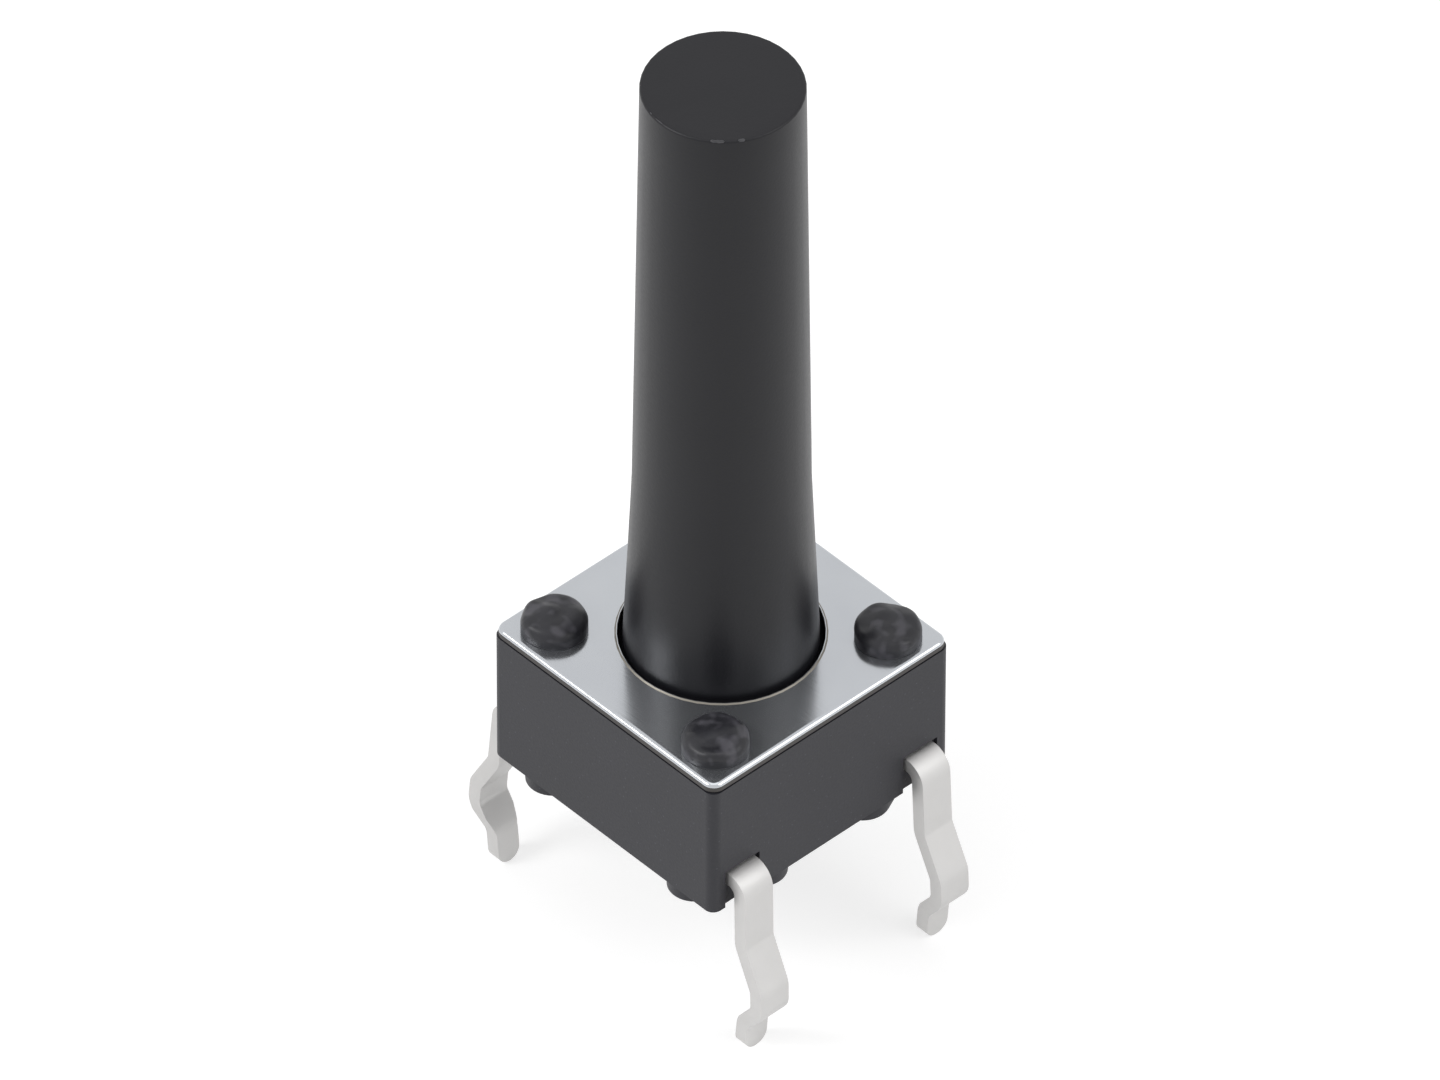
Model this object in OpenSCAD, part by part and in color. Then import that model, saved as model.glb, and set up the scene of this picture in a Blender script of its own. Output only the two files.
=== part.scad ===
// Through-hole tactile push button switch with a long plunger.
// The origin lies on the board's surface, in the middle of the four legs. +Z is up, along the plunger.
// The legs leave the housing at its +X and -X sides.

/* [Overall] */
// Height from the board to the top of the plunger
total_h = 17; // [8:0.5:20]
// Side of the square housing
case_side = 6; // [5.9:0.05:6.6]
// Height of the housing's walls, without the feet
case_h = 3; // [2.6:0.1:4.5]
// How far the plunger goes down when it is pressed
travel = 0.25; // [0.15:0.05:0.4]

/* [Housing] */
// Radius of the housing's upright corners
case_corner_r = 0.2; // [0.1:0.05:0.4]
// Thickness of the wall where the round cavity comes nearest to the housing's side
case_wall = 0.55; // [0.4:0.05:0.7]
// Thickness of the cavity's floor above the contact strips
floor_skin = 0.15; // [0.1:0.05:0.3]
// Height of the feet that keep the housing off the board
foot_h = 0.25; // [0.1:0.05:0.3]
// Half of the width of a foot
foot_r = 0.52; // [0.36:0.02:0.6]
// Distance from a foot's outer edge to the housing's side
foot_inset = 0.02; // [0.01:0.01:0.1]
// Distance from a side with legs to the middle of a foot's far end
foot_far_x = 1.07; // [0.87:0.05:1.37]
// Distance from a side without legs to the middle of a foot's far end
foot_far_y = 1.7; // [1.4:0.05:2]
// Depth of the shallow recess where a leg leaves the housing
recess_depth = 0.08; // [0.04:0.02:0.2]
// How much wider and higher that recess is than the leg
recess_margin = 0.08; // [0.05:0.01:0.2]

/* [Posts] */
// Distance from the housing's side to the middle of a corner post
post_inset = 0.82; // [0.76:0.01:0.84]
// Radius of a post inside the cover plate
post_r = 0.42; // [0.3:0.02:0.44]
// Largest radius of a post's melted head
head_r = 0.62; // [0.55:0.01:0.68]
// Height of a head above the cover plate
head_h = 0.4; // [0.4:0.01:0.6]
// Radius of the roll where a head's upright side turns in to its top
head_rim_r = 0.16; // [0.1:0.01:0.18]

/* [Cover plate] */
// Thickness of the cover plate
plate_t = 0.2; // [0.15:0.05:0.4]
// Distance from the plate's edge to the housing's side
plate_inset = 0.01; // [0.01:0.01:0.1]
// Width of the border between the centre hole and the plate's edge
plate_border = 1.07; // [0.94:0.01:1.14]
// Radius of the plate's corners
plate_corner_r = 0.25; // [0.2:0.05:0.8]
// Radius of the plate's rolled upper edge
plate_edge_r = 0.1; // [0.05:0.01:0.12]
// Width of the bevel at the foot of the plate's edge, which leaves a dark line over the housing
plate_foot_bevel = 0.03; // [0.01:0.01:0.05]
// Width of the raised lip around the centre hole
lip_w = 0.06; // [0.04:0.01:0.1]
// Height of that lip above the plate
lip_h = 0.02; // [0.01:0.01:0.04]
// Gap all round between a post and its hole in the plate
post_gap = 0.03; // [0.01:0.01:0.06]

/* [Plunger] */
// How much the plunger's radius shrinks over its flared lower end
stem_flare = 0.17; // [0.05:0.01:0.25]
// How much the plunger's radius shrinks over its long taper
stem_taper = 0.14; // [0.05:0.01:0.4]
// Height of the flared lower end above the cover plate
stem_flare_h = 3.9; // [2:0.1:4.5]
// Radius of the plunger's rounded top edge
stem_edge_r = 0.05; // [0.05:0.01:0.3]
// Gap all round between the plunger and the cover plate
stem_gap = 0.09; // [0.05:0.01:0.2]
// Gap all round between the plunger's flange and the cavity
flange_gap = 0.12; // [0.06:0.01:0.2]
// Thickness of the flange
flange_t = 0.8; // [0.4:0.05:1]
// Radius of the tip that presses on the dome
tip_r = 0.6; // [0.4:0.05:0.8]

/* [Legs and contacts] */
// Thickness of the strip
strip_t = 0.3; // [0.2:0.05:0.4]
// Height of the strip's underside above the housing's lower edge
strip_z = 0.5; // [0.4:0.05:0.8]
// Width of a leg
leg_w = 0.7; // [0.5:0.05:0.8]
// Distance from a side without legs to the middle of the nearest leg
leg_inset = 0.75; // [0.6:0.05:0.9]
// Inner radius of the bend at the housing's side
leg_bend_r = 0.15; // [0.05:0.05:0.3]
// Depth of the legs' ends below the board
leg_depth = 3.3; // [3.2:0.1:4]
// Depth below the board where the kink starts
kink_depth = 0.55; // [0.4:0.05:0.8]
// How far the kink bows outwards
kink_out = 0.4; // [0.25:0.05:0.5]
// Length of the straight stretch at the kink's widest place
kink_flat = 0.3; // [0.2:0.05:0.6]
// Slope of the kink's upper side in degrees
kink_angle = 23; // [18:1:30]
// Slope of the kink's lower side in degrees
return_angle = 40; // [35:1:50]
// Radius of the kink's bends, at the middle of the strip
kink_r = 0.35; // [0.3:0.05:0.45]
// How far the leg's end lies inside its straight upper part
tip_in = 0.08; // [0:0.02:0.2]
// Inward slant of the leg's end in degrees
tip_slant = 5; // [0:1:10]
// Outward lean of each leg in degrees, from the one at +X and -Y, anticlockwise seen from above
leg_lean = [1, 3, 4, 6]; // [0:1:10]
// Width of a leg's end
leg_tip_w = 0.52; // [0.3:0.02:0.6]
// Length of the narrow end
leg_tip_h = 0.75; // [0.4:0.05:0.9]
// Height of the shoulders above the narrow end
shoulder_h = 0.35; // [0.1:0.05:0.5]
// Height of a contact button above the cavity's floor
button_h = 0.05; // [0.02:0.01:0.1]
// Radius of a contact button
button_r = 0.35; // [0.25:0.05:0.45]

/* [Snap dome] */
// Gap all round between the dome and the cavity
dome_gap = 0.35; // [0.2:0.05:0.5]
// Thickness of the dome
dome_t = 0.08; // [0.05:0.01:0.12]

/* [Hidden] */
$fn = 64;
// How far a cut runs past the face that it opens
past = 0.5;
// Largest turn between two points of a bend, in degrees
bend_step = 10;
half = case_side / 2;
case_top = foot_h + case_h;
plate_top = case_top + plate_t;
post_xy = half - post_inset;
leg_y = half - leg_inset;
cavity_r = half - case_wall;
dome_r = cavity_r - dome_gap;
strip_bottom = foot_h + strip_z;
strip_top = strip_bottom + strip_t;
floor_z = strip_top + floor_skin;
button_top = floor_z + button_h;
// The dome's middle stands off the centre button by the plunger's travel
dome_top = button_top + travel + dome_t;
// The side buttons stand under the dome's rim and inside the cavity
button_x = dome_r - button_r / 2;
hole_r = half - plate_inset - plate_border;
stem_base_r = hole_r - stem_gap;
stem_knee_r = stem_base_r - stem_flare;
stem_top_r = stem_knee_r - stem_taper;
corners = [[1, 1], [-1, 1], [-1, -1], [1, -1]];

// A square with round corners
module round_square(side, r) {
    square([side - 2 * r, side], center = true);
    square([side, side - 2 * r], center = true);
    for (c = corners)
        translate((side / 2 - r) * c)
            circle(r);
}

// Section of a plate's rolled border, from where the corner's round starts out to the edge
module border_section(r, h, edge, bevel) {
    polygon([
        [0, 0],
        [r - bevel, 0],
        [r, bevel],
        [r, h - edge],
        [0, h - edge],
    ]);
    square([r - edge, h]);
    translate([r - edge, h - edge])
        circle(edge, $fn = 24);
}

// A round-cornered plate with a rolled upper edge and a bevelled lower one
module rolled_plate(side, r, h, edge, bevel) {
    core = side - 2 * r;
    linear_extrude(h)
        square(core, center = true);
    for (turn = [0 : 90 : 270])
        rotate(turn)
            translate([core / 2, 0, 0]) {
                rotate([90, 0, 0])
                    linear_extrude(core, center = true)
                        border_section(r, h, edge, bevel);
                translate([0, core / 2, 0])
                    rotate_extrude(angle = 90)
                        border_section(r, h, edge, bevel);
            }
}

// One foot: an oblong pad that runs slantwise under a corner
module foot() {
    a = [half - foot_far_x, half - foot_inset - foot_r];
    b = [half - foot_inset - foot_r, half - foot_far_y];
    span = b - a;
    linear_extrude(foot_h + foot_r) {
        translate(a)
            circle(foot_r);
        translate(b)
            circle(foot_r);
        translate((a + b) / 2)
            rotate(atan2(span[1], span[0]))
                square([norm(span), 2 * foot_r], center = true);
    }
}

// Section of a melted post head, from its axis outwards, seated at z = 0
module head_section() {
    belly_r = head_r - head_rim_r;
    dome_h = head_h - head_rim_r;
    // The cap's sphere runs through the top of the head and meets the roll without a crease
    cap_r = (pow(belly_r, 2) + pow(dome_h, 2) - pow(head_rim_r, 2)) / (2 * (dome_h - head_rim_r));
    meet_r = belly_r * cap_r / (cap_r - head_rim_r);
    square([head_r, head_rim_r]);
    translate([belly_r, head_rim_r])
        circle(head_rim_r, $fn = 24);
    intersection() {
        translate([0, head_h - cap_r])
            circle(cap_r);
        square([meet_r, head_h]);
    }
}

// A post with its head, from inside the housing's wall to the top of the head
module post() {
    cylinder(h = plate_top - floor_z, r = post_r);
    translate([0, 0, plate_top - floor_z])
        rotate_extrude()
            head_section();
}

// The walls, the feet and the cavity, before the contact strips are laid in
module housing() {
    color("#3c3d40")
        difference() {
            union() {
                translate([0, 0, foot_h])
                    linear_extrude(case_h)
                        round_square(case_side, case_corner_r);
                for (turn_x = [0, 1], turn_y = [0, 1])
                    mirror([turn_x, 0, 0])
                        mirror([0, turn_y, 0]) {
                            foot();
                            translate([post_xy, post_xy, floor_z])
                                post();
                        }
            }
            translate([0, 0, floor_z])
                cylinder(h = case_h, r = cavity_r);
            for (side = [-1, 1], row = [-1, 1])
                translate([side * half, row * leg_y, strip_top + recess_margin - case_h / 2])
                    cube([2 * recess_depth, leg_w + 2 * recess_margin, case_h], center = true);
            centre_blank();
            side_blank();
        }
}

// Section of the ring round the centre hole, whose lip stands up with a slope on both sides
module lip_section() {
    translate([hole_r, 0])
        polygon([
            [0, 0],
            [lip_w, 0],
            [lip_w, plate_t],
            [lip_w / 2, plate_t + lip_h],
            [lip_w / 4, plate_t + lip_h],
            [0, plate_t],
        ]);
}

module cover_plate() {
    side = case_side - 2 * plate_inset;
    color("#c3c6ca")
        translate([0, 0, case_top]) {
            difference() {
                rolled_plate(side, plate_corner_r, plate_t, plate_edge_r, plate_foot_bevel);
                translate([0, 0, -past])
                    cylinder(h = plate_t + 2 * past, r = hole_r + lip_w);
                for (c = corners)
                    translate([post_xy * c[0], post_xy * c[1], -past])
                        cylinder(h = plate_t + 2 * past, r = post_r + post_gap);
            }
            rotate_extrude()
                lip_section();
        }
}

// The stem, the flange that the cover plate holds in, and the tip on the dome
module plunger() {
    flange_r = cavity_r - flange_gap;
    flange_bottom = case_top - flange_t;
    knee_z = plate_top + stem_flare_h;
    edge_z = total_h - stem_edge_r;
    color("#3a3a3d")
        rotate_extrude() {
            polygon([
                [0, dome_top],
                [tip_r, dome_top],
                [stem_knee_r, flange_bottom],
                [flange_r, flange_bottom],
                [flange_r, case_top],
                [stem_base_r, case_top],
                [stem_base_r, plate_top],
                [stem_knee_r, knee_z],
                [stem_top_r, edge_z],
                [stem_top_r - stem_edge_r, edge_z],
                [stem_top_r - stem_edge_r, total_h],
                [0, total_h],
            ]);
            intersection() {
                translate([stem_top_r - stem_edge_r, edge_z])
                    circle(stem_edge_r, $fn = 24);
                translate([stem_top_r - stem_edge_r, edge_z])
                    square(stem_edge_r);
            }
        }
}

// A shallow spherical shell that stands on the side buttons
module snap_dome() {
    rise = travel + dome_t;
    outer_r = (dome_r * dome_r + rise * rise) / (2 * rise);
    inner_r = outer_r - dome_t;
    color("#c9c4b6")
        rotate_extrude()
            intersection() {
                translate([0, dome_top - outer_r])
                    difference() {
                        circle(outer_r, $fn = 360);
                        circle(inner_r, $fn = 360);
                    }
                translate([0, button_top])
                    square([dome_r, rise]);
            }
}

// State of the pen that draws a strip's middle line: x, z and heading in degrees
function ahead(s, d) = [s[0] + d * cos(s[2]), s[1] + d * sin(s[2]), s[2]];
function turned(s, a, r) = let (k = sign(a) * r) [
    s[0] + k * (sin(s[2] + a) - sin(s[2])),
    s[1] + k * (cos(s[2]) - cos(s[2] + a)),
    s[2] + a
];
// Points of a line whose steps each go straight by step[0], then turn by step[1] at radius step[2]
function walk(s, steps, i = 0) = i == len(steps) ? [] :
    let (
        step = steps[i],
        bend = ahead(s, step[0]),
        pieces = ceil(abs(step[1]) / bend_step)
    )
    concat(
        [bend],
        [for (j = [1 : 1 : pieces]) turned(bend, step[1] * j / pieces, step[2])],
        walk(turned(bend, step[1], step[2]), steps, i + 1)
    );

// Side view of a leg in X and Z, from the housing's side to past its end
module leg_side(lean) {
    strip_mid = strip_bottom + strip_t / 2;
    bend_r = leg_bend_r + strip_t / 2;
    // Straight lengths between the kink's bends, less what the bends themselves cover
    slope = kink_out / sin(kink_angle) - 2 * kink_r * tan(kink_angle / 2);
    return_x = kink_r * (1 + cos(tip_slant) - 2 * cos(return_angle));
    return_run = (kink_out + tip_in - return_x) / sin(return_angle);
    line = walk([half, strip_mid, 0], [
        [0, lean - 90, bend_r],
        [strip_mid - bend_r + kink_depth, kink_angle, kink_r],
        [slope, -kink_angle, kink_r],
        [kink_flat, -return_angle, kink_r],
        [return_run, return_angle - lean - tip_slant, kink_r],
        [leg_depth, 0, 0],
    ]);
    function beside(p, d) = [p[0] - d * sin(p[2]), p[1] + d * cos(p[2])];
    polygon(concat(
        [for (p = line) beside(p, strip_t / 2)],
        [for (i = [len(line) - 1 : -1 : 0]) beside(line[i], -strip_t / 2)]
    ));
}

// Front view of a leg in Y and Z: full width down to the shoulders, then a narrow rounded end
module leg_front() {
    round_z = -leg_depth + leg_tip_w / 2;
    neck_z = -leg_depth + leg_tip_h;
    shoulder_z = neck_z + shoulder_h;
    translate([-leg_w / 2, shoulder_z])
        square([leg_w, case_h + leg_depth]);
    polygon([
        [-leg_w / 2, shoulder_z],
        [-leg_tip_w / 2, neck_z],
        [leg_tip_w / 2, neck_z],
        [leg_w / 2, shoulder_z],
    ]);
    translate([-leg_tip_w / 2, round_z])
        square([leg_tip_w, neck_z - round_z]);
    translate([0, round_z])
        circle(leg_tip_w / 2, $fn = 32);
}

// The two legs of one strip, in the row at y, with the lean of the one at +X and of the one at -X
module legs(y, leans) {
    for (turn = [0, 1])
        mirror([turn, 0, 0])
            translate([0, y, 0])
                intersection() {
                    rotate([90, 0, 0])
                        linear_extrude(leg_w, center = true)
                            leg_side(leans[turn]);
                    rotate([90, 0, 90])
                        linear_extrude(case_side)
                            leg_front();
                }
}

module button(x) {
    translate([x, 0, strip_bottom])
        cylinder(h = button_top - strip_bottom, r = button_r, $fn = 48);
}

// Flat part of the strip with the contact in the middle
module centre_blank() {
    translate([0, 0, strip_bottom])
        linear_extrude(strip_t) {
            translate([0, leg_y])
                square([case_side, leg_w], center = true);
            translate([-button_r, 0])
                square([2 * button_r, leg_y]);
            circle(button_r, $fn = 48);
        }
    button(0);
}

// Flat part of the strip with a contact under each side of the dome's rim
module side_blank() {
    translate([0, 0, strip_bottom])
        linear_extrude(strip_t) {
            translate([0, -leg_y])
                square([case_side, leg_w], center = true);
            for (side = [-1, 1])
                translate([side * button_x, 0]) {
                    translate([-button_r, -leg_y])
                        square([2 * button_r, leg_y]);
                    circle(button_r, $fn = 48);
                }
        }
    for (side = [-1, 1])
        button(side * button_x);
}

module centre_contact() {
    color("#d5d5d3") {
        centre_blank();
        legs(leg_y, [leg_lean[1], leg_lean[2]]);
    }
}

module side_contacts() {
    color("#d5d5d3") {
        side_blank();
        legs(-leg_y, [leg_lean[0], leg_lean[3]]);
    }
}

housing();
cover_plate();
plunger();
snap_dome();
centre_contact();
side_contacts();
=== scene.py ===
"""A through-hole tactile push button switch with a long plunger: its looks."""

import math

import bmesh
import bpy
from mathutils import Matrix, Vector, noise


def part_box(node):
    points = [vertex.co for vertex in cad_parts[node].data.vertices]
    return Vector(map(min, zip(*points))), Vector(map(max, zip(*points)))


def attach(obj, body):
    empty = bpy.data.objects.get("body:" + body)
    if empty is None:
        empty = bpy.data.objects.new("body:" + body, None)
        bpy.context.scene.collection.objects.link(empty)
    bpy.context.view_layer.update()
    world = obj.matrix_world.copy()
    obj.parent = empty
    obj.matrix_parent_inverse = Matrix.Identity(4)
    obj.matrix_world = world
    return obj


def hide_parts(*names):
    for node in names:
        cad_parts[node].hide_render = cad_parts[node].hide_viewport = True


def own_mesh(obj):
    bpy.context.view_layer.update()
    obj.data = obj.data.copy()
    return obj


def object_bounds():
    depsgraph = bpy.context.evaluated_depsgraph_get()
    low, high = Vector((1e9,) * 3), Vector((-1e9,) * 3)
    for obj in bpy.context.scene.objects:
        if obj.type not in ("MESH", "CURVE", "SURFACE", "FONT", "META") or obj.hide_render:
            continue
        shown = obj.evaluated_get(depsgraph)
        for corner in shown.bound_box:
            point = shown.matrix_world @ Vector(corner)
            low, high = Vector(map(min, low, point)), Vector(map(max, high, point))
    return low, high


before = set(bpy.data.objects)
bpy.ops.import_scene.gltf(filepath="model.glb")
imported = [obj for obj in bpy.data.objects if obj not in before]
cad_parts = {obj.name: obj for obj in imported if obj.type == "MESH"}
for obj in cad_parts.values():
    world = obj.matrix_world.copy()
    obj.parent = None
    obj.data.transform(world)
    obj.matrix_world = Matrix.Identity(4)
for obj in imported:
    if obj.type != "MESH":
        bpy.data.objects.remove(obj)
cad_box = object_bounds()
scene = bpy.context.scene

MM = 0.001  # one millimetre in metres

# Places in the part, in millimetres. The plate's top is its flat, below the
# lip round its hole.
LEG_TIPS = cad_box[0][2] / MM
LIP_HEIGHT = 0.02
LIP_WIDTH = 0.06
HOLE_RADIUS = 1.92
PLATE_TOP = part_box("cover_plate")[1][2] / MM - LIP_HEIGHT
HEAD_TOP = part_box("housing")[1][2] / MM
HEAD_OFFSET = 2.18
HEAD_RADIUS = 0.62
HEAD_RIM = 0.16
STEM_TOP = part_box("plunger")[1][2] / MM
STEM_TOP_RADIUS = 1.52
DOME_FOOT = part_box("snap_dome")[0][2] / MM
DOME_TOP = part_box("snap_dome")[1][2] / MM
DOME_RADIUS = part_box("snap_dome")[1][0] / MM
DOME_THICK = 0.08

# The photograph's camera, in millimetres, degrees and pixels
PHOTO_WIDE = 1440
PHOTO_HIGH = 1080
CAMERA_AZIMUTH = 46.935
CAMERA_ELEVATION = 43.019
CAMERA_ROLL = 0.175
CAMERA_DISTANCE = 435.784
CAMERA_AIM_HEIGHT = 4.25
FOCAL_PIXELS = 23615.991
AIM_PIXEL = (721.407, 600.146)
SENSOR_WIDE = 36.0

# The Mix node's sockets, which share their names: its factor, its two numbers,
# its two colours, and the colour that comes out
FACTOR = 0
NUMBER_A = 2
NUMBER_B = 3
COLOUR_A = 6
COLOUR_B = 7
MIXED_COLOUR = 2

# Steps round a turned piece, and the angle from which an edge counts as sharp
AROUND = 64
SHARP = math.radians(40)


def linear(colour):
    """An sRGB hex colour as Blender's linear colour."""
    parts = [int(colour[i : i + 2], 16) / 255 for i in (1, 3, 5)]
    return [p / 12.92 if p <= 0.04045 else ((p + 0.055) / 1.055) ** 2.4 for p in parts] + [1.0]


def per_metre(size_mm):
    """The texture scale at which a pattern repeats at that size in millimetres."""
    return 1 / (size_mm * MM)


def add(owner, kind, inputs=None, **settings):
    """Adds a shader node. Inputs take a value or another node's output."""
    made = owner.node_tree.nodes.new("ShaderNode" + kind)
    for name, value in settings.items():
        setattr(made, name, value)
    for name, value in (inputs or {}).items():
        if isinstance(value, bpy.types.NodeSocket):
            owner.node_tree.links.new(value, made.inputs[name])
        else:
            made.inputs[name].default_value = value
    return made


def new_material(name):
    """An empty material, with the place of each point in the part's own frame."""
    material = bpy.data.materials.new(name)
    material.use_nodes = True
    material.node_tree.nodes.clear()
    place = add(material, "TexCoord").outputs["Object"]
    return material, place


def finish_material(material, shader):
    """Links the shader to the material's output."""
    add(material, "OutputMaterial", {"Surface": shader.outputs[0]})
    return material


# Glass-filled nylon, moulded in a spark-eroded cavity: a dark satin skin with
# a very fine grain, faint flow marks and a few pale fibre ends. The ends are
# really about 0.01 mm wide, and are drawn about four times as wide to show.
def moulded_nylon():
    material, place = new_material("moulded_nylon")
    flow = add(material, "TexNoise", {"Vector": place, "Scale": per_metre(1.6), "Detail": 3.0})
    grain = add(material, "TexNoise", {"Vector": place, "Scale": per_metre(0.05), "Detail": 2.0})
    fibres = add(material, "TexVoronoi", {"Vector": place, "Scale": per_metre(0.16)})
    fibre_ends = add(
        material,
        "MapRange",
        {"Value": fibres.outputs["Distance"], "From Min": 0.14, "From Max": 0.05},
    )
    skin = add(
        material,
        "Mix",
        {FACTOR: flow.outputs["Fac"], COLOUR_A: linear("#1e1e24"), COLOUR_B: linear("#26262d")},
        data_type="RGBA",
    )
    flecked = add(
        material,
        "Mix",
        {
            FACTOR: fibre_ends.outputs["Result"],
            COLOUR_A: skin.outputs[MIXED_COLOUR],
            COLOUR_B: linear("#3a3a42"),
        },
        data_type="RGBA",
    )
    satin = add(
        material,
        "MapRange",
        {"Value": grain.outputs["Fac"], "To Min": 0.42, "To Max": 0.58},
    )
    bump = add(
        material,
        "Bump",
        {"Height": grain.outputs["Fac"], "Distance": 0.004 * MM, "Strength": 0.6},
    )
    shader = add(
        material,
        "BsdfPrincipled",
        {
            "Base Color": flecked.outputs[MIXED_COLOUR],
            "Roughness": satin.outputs["Result"],
            "IOR": 1.48,
            "Normal": bump.outputs["Normal"],
        },
    )
    return finish_material(material, shader)


# The same nylon melted by the staking tool: glossier in the pools and wrinkled as
# it sets. Small pale spots on it are painted highlights, a pale colour in place of
# the light caught by facets of the lumps. It shines less than solid nylon, so its
# index is under the usual 1.53.
def melted_nylon():
    material, place = new_material("melted_nylon")
    pools = add(material, "TexNoise", {"Vector": place, "Scale": per_metre(0.4), "Detail": 2.0})
    wrinkles = add(material, "TexNoise", {"Vector": place, "Scale": per_metre(0.12), "Detail": 2.0})
    painted_highlight_noise = add(material, "TexNoise", {"Vector": place, "Scale": per_metre(0.3), "Detail": 1.0})
    skin = add(
        material,
        "Mix",
        {FACTOR: pools.outputs["Fac"], COLOUR_A: linear("#1e1e22"), COLOUR_B: linear("#343439")},
        data_type="RGBA",
    )
    # Painted highlights: pale spots of colour where the lumps' facets would catch the light.
    painted_highlight_spots = add(
        material,
        "MapRange",
        {"Value": painted_highlight_noise.outputs["Fac"], "From Min": 0.52, "From Max": 0.7},
    )
    painted_highlights = add(
        material,
        "Mix",
        {
            FACTOR: painted_highlight_spots.outputs["Result"],
            COLOUR_A: skin.outputs[MIXED_COLOUR],
            COLOUR_B: linear("#4c4b51"),
        },
        data_type="RGBA",
    )
    gloss = add(
        material,
        "MapRange",
        {
            "Value": pools.outputs["Fac"],
            "From Min": 0.35,
            "From Max": 0.65,
            "To Min": 0.3,
            "To Max": 0.5,
        },
    )
    bump = add(
        material,
        "Bump",
        {"Height": wrinkles.outputs["Fac"], "Distance": 0.008 * MM, "Strength": 0.5},
    )
    shader = add(
        material,
        "BsdfPrincipled",
        {
            "Base Color": painted_highlights.outputs[MIXED_COLOUR],
            "Roughness": gloss.outputs["Result"],
            "IOR": 1.4,
            "Normal": bump.outputs["Normal"],
        },
    )
    return finish_material(material, shader)


# ABS, moulded in a drawn-polished cavity: near black and even, with a satin
# that goes pale only where the light grazes it. The fine grain takes some of
# the shine, so the index is well under the 1.54 of solid ABS. The grain is
# drawn coarser than the real polishing marks, so that it shows.
def moulded_abs():
    material, place = new_material("moulded_abs")
    flow = add(material, "TexNoise", {"Vector": place, "Scale": per_metre(2.4), "Detail": 3.0})
    grain = add(material, "TexNoise", {"Vector": place, "Scale": per_metre(0.06), "Detail": 2.0})
    skin = add(
        material,
        "Mix",
        {FACTOR: flow.outputs["Fac"], COLOUR_A: linear("#17171b"), COLOUR_B: linear("#1e1e22")},
        data_type="RGBA",
    )
    satin = add(
        material,
        "MapRange",
        {"Value": grain.outputs["Fac"], "To Min": 0.34, "To Max": 0.44},
    )
    bump = add(
        material,
        "Bump",
        {"Height": grain.outputs["Fac"], "Distance": 0.003 * MM, "Strength": 0.5},
    )
    shader = add(
        material,
        "BsdfPrincipled",
        {
            "Base Color": skin.outputs[MIXED_COLOUR],
            "Roughness": satin.outputs["Result"],
            "IOR": 1.36,
            "Normal": bump.outputs["Normal"],
        },
    )
    return finish_material(material, shader)


# The same ABS where it was torn at the mould's parting line: whitened and dull.
def torn_abs():
    material, place = new_material("torn_abs")
    tear = add(material, "TexNoise", {"Vector": place, "Scale": per_metre(0.08), "Detail": 2.0})
    whitened = add(
        material,
        "Mix",
        {FACTOR: tear.outputs["Fac"], COLOUR_A: linear("#2c2c30"), COLOUR_B: linear("#5c5c60")},
        data_type="RGBA",
    )
    bump = add(
        material,
        "Bump",
        {"Height": tear.outputs["Fac"], "Distance": 0.01 * MM, "Strength": 0.6},
    )
    shader = add(
        material,
        "BsdfPrincipled",
        {
            "Base Color": whitened.outputs[MIXED_COLOUR],
            "Roughness": 0.6,
            "IOR": 1.45,
            "Normal": bump.outputs["Normal"],
        },
    )
    return finish_material(material, shader)


# Which faces of the plate count as its lip and as its blanked sides: a margin
# round the lip, in millimetres, and the most that a face of each looks upward,
# where a flat face looks up by 1
LIP_MARGIN = 0.01
LIP_UPWARD = 0.97
SIDE_UPWARD = 0.3
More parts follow.
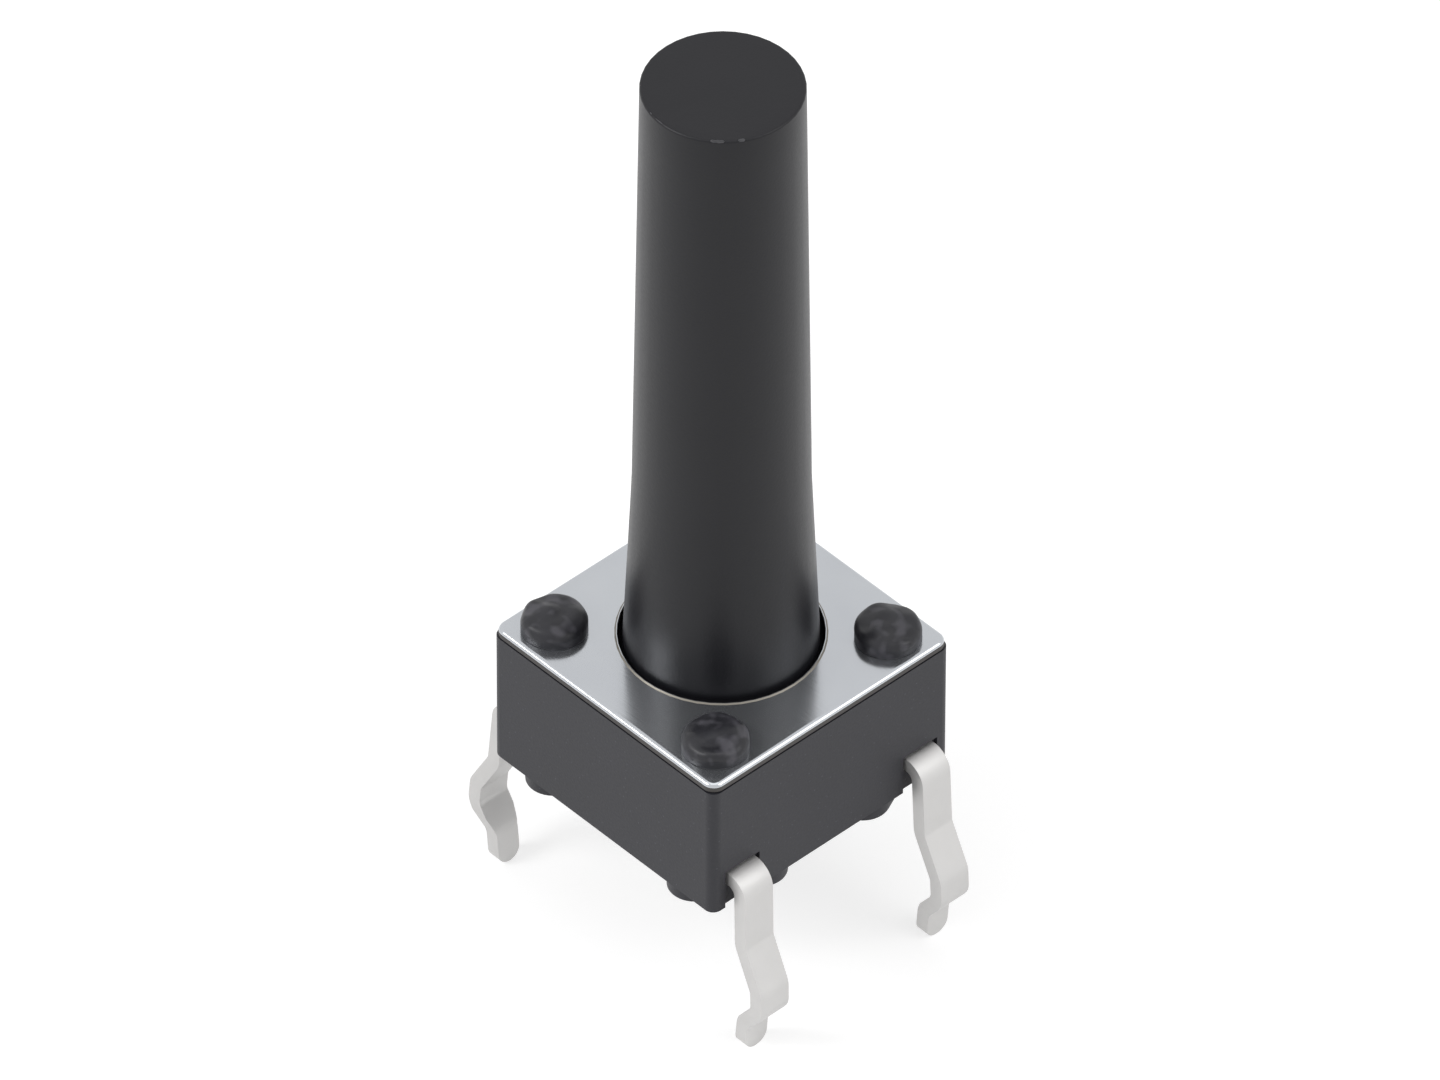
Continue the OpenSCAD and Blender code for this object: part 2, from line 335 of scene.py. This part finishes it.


# Bright cold-rolled stainless sheet, blanked and coined: a soft mirror with
# faint rolling lines and a thin film that scatters a little light. The hole's
# lip is dull and brownish. The blanked sides are rough, and their dark grey is
# painted shade, in place of the shadow along the plate's thin edge. The lines
# are drawn coarser than the real ones, 0.05 mm apart, so that they show.
def rolled_stainless():
    material, place = new_material("rolled_stainless")
    stretched = add(material, "Mapping", {"Vector": place, "Scale": (0.06, 1.0, 1.0)})
    lines = add(
        material,
        "TexNoise",
        {"Vector": stretched.outputs["Vector"], "Scale": per_metre(0.05), "Detail": 3.0},
    )
    cloud = add(material, "TexNoise", {"Vector": place, "Scale": per_metre(1.2), "Detail": 2.0})
    flat_place = add(material, "VectorMath", {0: place, 1: (1.0, 1.0, 0.0)}, operation="MULTIPLY")
    from_middle = add(material, "VectorMath", {0: flat_place.outputs[0]}, operation="LENGTH")
    by_hole = add(
        material,
        "Math",
        {0: from_middle.outputs["Value"], 1: (HOLE_RADIUS + LIP_WIDTH + LIP_MARGIN) * MM},
        operation="LESS_THAN",
    )
    facing = add(material, "NewGeometry").outputs["True Normal"]
    upward = add(material, "SeparateXYZ", {"Vector": facing}).outputs["Z"]
    sloping = add(material, "Math", {0: upward, 1: LIP_UPWARD}, operation="LESS_THAN")
    punched = add(
        material,
        "Math",
        {0: by_hole.outputs[0], 1: sloping.outputs[0]},
        operation="MULTIPLY",
    )
    # The blanked sides: rougher, and painted dark below as shade.
    blanked = add(material, "Math", {0: upward, 1: SIDE_UPWARD}, operation="LESS_THAN")
    sheared = add(
        material,
        "Math",
        {0: punched.outputs[0], 1: blanked.outputs[0]},
        operation="MAXIMUM",
    )
    sheet = add(
        material,
        "Mix",
        {FACTOR: cloud.outputs["Fac"], COLOUR_A: linear("#bcbfc4"), COLOUR_B: linear("#c5c8cc")},
        data_type="RGBA",
    )
    lipped = add(
        material,
        "Mix",
        {
            FACTOR: punched.outputs[0],
            COLOUR_A: sheet.outputs[MIXED_COLOUR],
            COLOUR_B: linear("#7c7871"),
        },
        data_type="RGBA",
    )
    # Painted shade: a dark grey on the blanked sides in place of the shadow along the plate's edge.
    painted_shade_on_sides = add(
        material,
        "Mix",
        {
            FACTOR: blanked.outputs[0],
            COLOUR_A: lipped.outputs[MIXED_COLOUR],
            COLOUR_B: linear("#4e4c4b"),
        },
        data_type="RGBA",
    )
    polish = add(
        material,
        "MapRange",
        {"Value": lines.outputs["Fac"], "To Min": 0.12, "To Max": 0.22},
    )
    rough = add(
        material,
        "Mix",
        {FACTOR: sheared.outputs[0], NUMBER_A: polish.outputs["Result"], NUMBER_B: 0.4},
    )
    bump = add(
        material,
        "Bump",
        {"Height": lines.outputs["Fac"], "Distance": 0.0015 * MM, "Strength": 0.4},
    )
    shader = add(
        material,
        "BsdfPrincipled",
        {
            "Base Color": painted_shade_on_sides.outputs[MIXED_COLOUR],
            "Metallic": 0.92,
            "Roughness": rough.outputs[0],
            "Normal": bump.outputs["Normal"],
        },
    )
    return finish_material(material, shader)


# Brass strip under matt tin plating: pale, even and soft, with a slightly
# cloudy surface. The grain is drawn coarser than the plating's, to show.
def matt_tin():
    material, place = new_material("matt_tin")
    cloud = add(material, "TexNoise", {"Vector": place, "Scale": per_metre(0.5), "Detail": 4.0})
    grain = add(material, "TexNoise", {"Vector": place, "Scale": per_metre(0.04), "Detail": 2.0})
    plating = add(
        material,
        "Mix",
        {FACTOR: cloud.outputs["Fac"], COLOUR_A: linear("#c7c6c5"), COLOUR_B: linear("#d3d2d1")},
        data_type="RGBA",
    )
    matt = add(
        material,
        "MapRange",
        {"Value": cloud.outputs["Fac"], "To Min": 0.5, "To Max": 0.66},
    )
    bump = add(
        material,
        "Bump",
        {"Height": grain.outputs["Fac"], "Distance": 0.004 * MM, "Strength": 0.5},
    )
    shader = add(
        material,
        "BsdfPrincipled",
        {
            "Base Color": plating.outputs[MIXED_COLOUR],
            "Metallic": 1.0,
            "Roughness": matt.outputs["Result"],
            "Normal": bump.outputs["Normal"],
        },
    )
    return finish_material(material, shader)


# The size in millimetres that sets the scale of the rings on the dome. At this
# scale the wave texture draws them 0.59 mm apart
RING_SIZE = 0.3


# Hard-rolled spring stainless, pressed to a dome: darker than the cover, with
# faint rings from the pressing.
def spring_stainless():
    material, place = new_material("spring_stainless")
    rings = add(
        material,
        "TexWave",
        {"Vector": place, "Scale": per_metre(RING_SIZE) / math.tau, "Distortion": 0.6},
        wave_type="RINGS",
        rings_direction="Z",
    )
    sheet = add(
        material,
        "Mix",
        {FACTOR: rings.outputs["Fac"], COLOUR_A: linear("#a9abae"), COLOUR_B: linear("#b8babd")},
        data_type="RGBA",
    )
    polish = add(
        material,
        "MapRange",
        {"Value": rings.outputs["Fac"], "To Min": 0.22, "To Max": 0.32},
    )
    shader = add(
        material,
        "BsdfPrincipled",
        {
            "Base Color": sheet.outputs[MIXED_COLOUR],
            "Metallic": 1.0,
            "Roughness": polish.outputs["Result"],
        },
    )
    return finish_material(material, shader)


def dress(name, material):
    """Gives a carried-over node its material."""
    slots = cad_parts[name].data.materials
    slots.clear()
    slots.append(material)


tin = matt_tin()
spring = spring_stainless()
dress("housing", moulded_nylon())
dress("plunger", moulded_abs())
dress("cover_plate", rolled_stainless())
dress("snap_dome", spring)
dress("centre_contact", tin)
dress("side_contacts", tin)


# The strips are coined after blanking, so their edges are soft: the width of
# the soft edge, and the gap below which two corners of facets are taken as
# one, both in millimetres
COINED_EDGE = 0.07
SAME_CORNER = 0.0005


def join_facets(node):
    """Joins the facets of a carried-over node over its unchanged mesh."""
    joined = node.modifiers.new("joined", "WELD")
    joined.merge_threshold = SAME_CORNER * MM


def coin_edges(name):
    """Rounds the blanked edges of a contact strip over its unchanged mesh."""
    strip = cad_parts[name]
    join_facets(strip)
    coined = strip.modifiers.new("coined", "BEVEL")
    coined.width = COINED_EDGE * MM
    coined.segments = 3
    coined.limit_method = "ANGLE"
    coined.angle_limit = SHARP
    smooth = strip.modifiers.new("smooth", "WEIGHTED_NORMAL")
    smooth.keep_sharp = False


def smooth_plunger():
    """Shades the plunger's turned faces as one smooth skin."""
    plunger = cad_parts["plunger"]
    join_facets(plunger)
    smooth = plunger.modifiers.new("smooth", "WEIGHTED_NORMAL")
    smooth.mode = "FACE_AREA_WITH_ANGLE"
    smooth.keep_sharp = False


coin_edges("centre_contact")
coin_edges("side_contacts")
smooth_plunger()


def new_piece(name, built, material, smooth):
    """Turns built faces into an object of the scene, in its material."""
    mesh = bpy.data.meshes.new(name)
    built.to_mesh(mesh)
    built.free()
    for face in mesh.polygons:
        face.use_smooth = smooth
    mesh.materials.append(material)
    piece = bpy.data.objects.new(name, mesh)
    scene.collection.objects.link(piece)
    return piece


# Each locating post is melted over the plate into a lumpy rivet head. The skin
# sits just proud of the plain head on the housing. The skin and the lumps'
# height and width are in millimetres. The bias lifts the noise, so that lumps
# cover more of the head, and the share is what is left of their height on the
# head's upright sides.
SKIN = 0.006
LUMP = 0.06
LUMP_SIZE = 0.34
LUMP_BIAS = 0.3
SIDE_SHARE = 0.25
WALL_STEPS = 6
CURVE_STEPS = 20

# Each head's name, its side of the plate along X and Y, and its lumps' seed
POST_HEADS = (
    ("post_head_front", 1, -1, 3.1),
    ("post_head_left", -1, -1, 11.7),
    ("post_head_right", 1, 1, 27.3),
    ("post_head_back", -1, 1, 40.9),
)


def head_section():
    """The plain head's section from the plate up to its top: place and outward direction."""
    belly = HEAD_RADIUS - HEAD_RIM
    height = HEAD_TOP - PLATE_TOP
    rise = height - HEAD_RIM
    cap = (belly**2 + rise**2 - HEAD_RIM**2) / (2 * (rise - HEAD_RIM))
    reach = math.asin(belly / (cap - HEAD_RIM))
    section = []
    for i in range(WALL_STEPS):
        section.append((Vector((HEAD_RADIUS, HEAD_RIM * i / WALL_STEPS)), Vector((1, 0))))
    for i in range(CURVE_STEPS):
        turn = (math.pi / 2 - reach) * i / CURVE_STEPS
        out = Vector((math.cos(turn), math.sin(turn)))
        section.append((Vector((belly, HEAD_RIM)) + HEAD_RIM * out, out))
    for i in range(CURVE_STEPS + 1):
        turn = reach * (1 - i / CURVE_STEPS)
        out = Vector((math.sin(turn), math.cos(turn)))
        section.append((Vector((0, height - cap)) + cap * out, out))
    return section


def melted_head(name, side_x, side_y, seed, material):
    """One lumpy melted head, turned from the section and swollen by noise.

    The section's last place is on the axis, where one corner closes the head.
    """
    built = bmesh.new()
    rings = []
    for place, out in head_section()[:-1]:
        ring = []
        for k in range(AROUND):
            a = math.tau * k / AROUND
            point = Vector((place.x * math.cos(a), place.x * math.sin(a), place.y))
            normal = Vector((out.x * math.cos(a), out.x * math.sin(a), out.y))
            lump = max(0, LUMP_BIAS + noise.noise(point / LUMP_SIZE + Vector((seed, 0, 0))))
            proud = SKIN + LUMP * lump * (SIDE_SHARE + (1 - SIDE_SHARE) * out.y)
            ring.append(built.verts.new(point + proud * normal))
        rings.append(ring)
    top = built.verts.new((0, 0, sum(v.co.z for v in rings[-1]) / AROUND))
    foot = built.verts.new((0, 0, rings[0][0].co.z))
    for low, high in zip(rings, rings[1:]):
        for k in range(AROUND):
            n = (k + 1) % AROUND
            built.faces.new((low[k], low[n], high[n], high[k]))
    for k in range(AROUND):
        n = (k + 1) % AROUND
        built.faces.new((rings[-1][k], rings[-1][n], top))
        built.faces.new((rings[0][n], rings[0][k], foot))
    base = Vector((side_x * HEAD_OFFSET, side_y * HEAD_OFFSET, PLATE_TOP))
    for vert in built.verts:
        vert.co.z = max(vert.co.z, 0)
        vert.co = (vert.co + base) * MM
    head = new_piece(name, built, material, smooth=True)
    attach(head, "base")


melted = melted_nylon()
for head_name, head_x, head_y, head_seed in POST_HEADS:
    melted_head(head_name, head_x, head_y, head_seed, melted)


# The flash on the plunger's top rim: the size of its crumbs, how far apart
# they lie and how far they rise from the ridge under the skin, in millimetres,
# and the side of the rim that they are on
FLASH_SIZE = 0.16
FLASH_SPACING = 0.9
FLASH_RISE = 0.09
FLASH_SIDE = math.radians(CAMERA_AZIMUTH - 90)
FLASH_SEED = 8.5
FLASH_AROUND = 480

# Only the peaks of the two noises come out: how steeply each one rises, and
# how much of the finer one stays under the skin
CRUMB_RISE = 5
CRUMB_HIDDEN = 0.7
SPARSE_RISE = 4

# The ridge's three edges, in millimetres past the rim's radius and above the
# plunger's top, and how far its crest leans out for each millimetre up
RIDGE_INNER = (-0.09, -0.03)
RIDGE_CREST = (-0.035, -0.03)
RIDGE_OUTER = (-0.03, -0.11)
CREST_LEAN = 0.6


def rim_flash(material):
    """The crumbs of flash on the plunger's top rim: a ridge that mostly stays under the skin."""
    built = bmesh.new()
    rings = [[], [], []]
    for k in range(FLASH_AROUND):
        a = math.tau * k / FLASH_AROUND
        spot = Vector((math.cos(a), math.sin(a), 0)) * STEM_TOP_RADIUS
        ragged = noise.noise(spot / FLASH_SIZE + Vector((0, 0, FLASH_SEED)))
        sparse = noise.noise(spot / FLASH_SPACING + Vector((0, 0, 2 * FLASH_SEED)))
        crumb = max(0, CRUMB_RISE * ragged - CRUMB_HIDDEN) * max(0, SPARSE_RISE * sparse)
        rise = FLASH_RISE * min(1, crumb * max(0, math.cos(a - FLASH_SIDE)))
        crest = (RIDGE_CREST[0] + CREST_LEAN * rise, RIDGE_CREST[1] + rise)
        for ring, (out, high) in zip(rings, (RIDGE_INNER, crest, RIDGE_OUTER)):
            reach = STEM_TOP_RADIUS + out
            place = (reach * math.cos(a) * MM, reach * math.sin(a) * MM, (STEM_TOP + high) * MM)
            ring.append(built.verts.new(place))
    for k in range(FLASH_AROUND):
        n = (k + 1) % FLASH_AROUND
        for near, far in zip(rings, rings[1:] + rings[:1]):
            built.faces.new((near[k], far[k], far[n], near[n]))
    flash = new_piece("rim_flash", built, material, smooth=False)
    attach(flash, "button")


rim_flash(torn_abs())


# Steps along the dome's section, from its crown to its rim
DOME_STEPS = 24


def spring_dome(material):
    """The snap dome as a still, domed shell. The real dome flattens on to its rim as the plunger
    sinks by its travel.
    """
    rise = DOME_TOP - DOME_FOOT
    outer = (DOME_RADIUS**2 + rise**2) / (2 * rise)
    centre = DOME_TOP - outer
    section = []
    for radius, order in ((outer, 1), (outer - DOME_THICK, -1)):
        rim = math.sqrt(radius**2 - (DOME_FOOT - centre) ** 2)
        spots = [rim * (i + 1) / DOME_STEPS for i in range(DOME_STEPS)]
        arc = [(spot, centre + math.sqrt(radius**2 - spot**2)) for spot in spots]
        section += arc[::order]
    built = bmesh.new()
    rings = [
        [
            built.verts.new((out * math.cos(a) * MM, out * math.sin(a) * MM, high * MM))
            for a in (math.tau * k / AROUND for k in range(AROUND))
        ]
        for out, high in section
    ]
    crown = built.verts.new((0, 0, DOME_TOP * MM))
    hollow = built.verts.new((0, 0, (DOME_TOP - DOME_THICK) * MM))
    for k in range(AROUND):
        n = (k + 1) % AROUND
        built.faces.new((crown, rings[0][k], rings[0][n]))
        built.faces.new((rings[-1][k], hollow, rings[-1][n]))
        for near, far in zip(rings, rings[1:]):
            built.faces.new((near[k], far[k], far[n], near[n]))
    dome = new_piece("spring_dome", built, material, smooth=True)
    dome.data.set_sharp_from_angle(angle=SHARP)
    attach(dome, "base")
    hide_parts("snap_dome")
    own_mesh(dome)


spring_dome(spring)


# Half the floor's side, in millimetres, the light that the paper adds for the
# eye, and the light that the world gives to surfaces that scatter it
FLOOR_HALF = 400.0
PAPER_GLOW = 0.6
SKY_LIGHT = 0.5
WHITE = (1.0, 1.0, 1.0, 1.0)


def for_the_eye(owner):
    """1 where the camera looks, straight, by a reflection or through glass, and 0 elsewhere."""
    path = add(owner, "LightPath")
    reflected = add(
        owner,
        "Math",
        {0: path.outputs["Is Camera Ray"], 1: path.outputs["Is Glossy Ray"]},
        operation="MAXIMUM",
    )
    through = add(
        owner,
        "Math",
        {0: reflected.outputs[0], 1: path.outputs["Is Transmission Ray"]},
        operation="MAXIMUM",
    )
    return through.outputs[0]


# Seamless pale paper, smooth and uncoated. It adds some light of its own for
# the eye and for reflections, so that it reads as white paper.
def white_paper():
    material, place = new_material("white_paper")
    fibres = add(material, "TexNoise", {"Vector": place, "Scale": per_metre(3.0), "Detail": 3.0})
    rough = add(
        material,
        "MapRange",
        {"Value": fibres.outputs["Fac"], "To Min": 0.85, "To Max": 0.95},
    )
    glow = add(
        material,
        "MapRange",
        {"Value": for_the_eye(material), "To Min": 0.0, "To Max": PAPER_GLOW},
    )
    shader = add(
        material,
        "BsdfPrincipled",
        {
            "Base Color": linear("#cacaca"),
            "Roughness": rough.outputs["Result"],
            "Emission Color": WHITE,
            "Emission Strength": glow.outputs["Result"],
        },
    )
    return finish_material(material, shader)


def paper_floor():
    """A wide square of paper under the leg tips."""
    sides = ((-1, -1), (1, -1), (1, 1), (-1, 1))
    corners = [(x * FLOOR_HALF * MM, y * FLOOR_HALF * MM, LEG_TIPS * MM) for x, y in sides]
    mesh = bpy.data.meshes.new("floor")
    mesh.from_pydata(corners, [], [(0, 1, 2, 3)])
    mesh.materials.append(white_paper())
    floor = bpy.data.objects.new("floor", mesh)
    scene.collection.objects.link(floor)


def white_studio():
    """White to the camera and the glossy surfaces, and soft light from all round to the rest."""
    world = bpy.data.worlds.new("studio")
    world.use_nodes = True
    world.node_tree.nodes.clear()
    strength = add(
        world,
        "MapRange",
        {"Value": for_the_eye(world), "To Min": SKY_LIGHT, "To Max": 1.0},
    )
    sky = add(world, "Background", {"Color": WHITE, "Strength": strength.outputs["Result"]})
    add(world, "OutputWorld", {"Surface": sky.outputs[0]})
    scene.world = world
    scene.view_settings.view_transform = "Standard"


def direction(azimuth, elevation):
    """The way from the switch to a place round it. Azimuth 0 is in front, at -Y."""
    a, e = math.radians(azimuth), math.radians(elevation)
    return Vector((math.sin(a) * math.cos(e), -math.cos(a) * math.cos(e), math.sin(e)))


def softbox(name, azimuth, elevation, distance, size, power):
    """A square lamp that looks at the middle of the switch, in millimetres and watts."""
    away = direction(azimuth, elevation)
    data = bpy.data.lights.new(name, "AREA")
    data.shape = "SQUARE"
    data.size = size * MM
    data.energy = power
    lamp = bpy.data.objects.new(name, data)
    lamp.location = away * distance * MM
    lamp.rotation_mode = "QUATERNION"
    lamp.rotation_quaternion = away.to_track_quat("Z", "Y")
    scene.collection.objects.link(lamp)


def photo_camera():
    """A camera that stands where the photograph's did."""
    back = direction(CAMERA_AZIMUTH, CAMERA_ELEVATION)
    a, r = math.radians(CAMERA_AZIMUTH), math.radians(CAMERA_ROLL)
    right = Vector((math.cos(a), math.sin(a), 0))
    up = back.cross(right)
    right, up = (
        math.cos(r) * right + math.sin(r) * up,
        math.cos(r) * up - math.sin(r) * right,
    )
    across = (AIM_PIXEL[0] - PHOTO_WIDE / 2) / FOCAL_PIXELS * CAMERA_DISTANCE
    upward = (PHOTO_HIGH / 2 - AIM_PIXEL[1]) / FOCAL_PIXELS * CAMERA_DISTANCE
    aim = Vector((0, 0, CAMERA_AIM_HEIGHT))
    place = (aim + CAMERA_DISTANCE * back - across * right - upward * up) * MM
    data = bpy.data.cameras.new("camera")
    data.sensor_fit = "HORIZONTAL"
    data.sensor_width = SENSOR_WIDE
    data.lens = FOCAL_PIXELS * SENSOR_WIDE / PHOTO_WIDE
    camera = bpy.data.objects.new("camera", data)
    axes = Matrix((right, up, back)).transposed().to_4x4()
    camera.matrix_world = Matrix.Translation(place) @ axes
    scene.collection.objects.link(camera)
    scene.camera = camera


paper_floor()
white_studio()
softbox("key", azimuth=CAMERA_AZIMUTH - 75, elevation=41, distance=300, size=110, power=0.32)
softbox("fill", azimuth=CAMERA_AZIMUTH + 72, elevation=40, distance=300, size=180, power=0.2)
softbox("top", azimuth=CAMERA_AZIMUTH + 10, elevation=85, distance=320, size=250, power=0.12)
photo_camera()
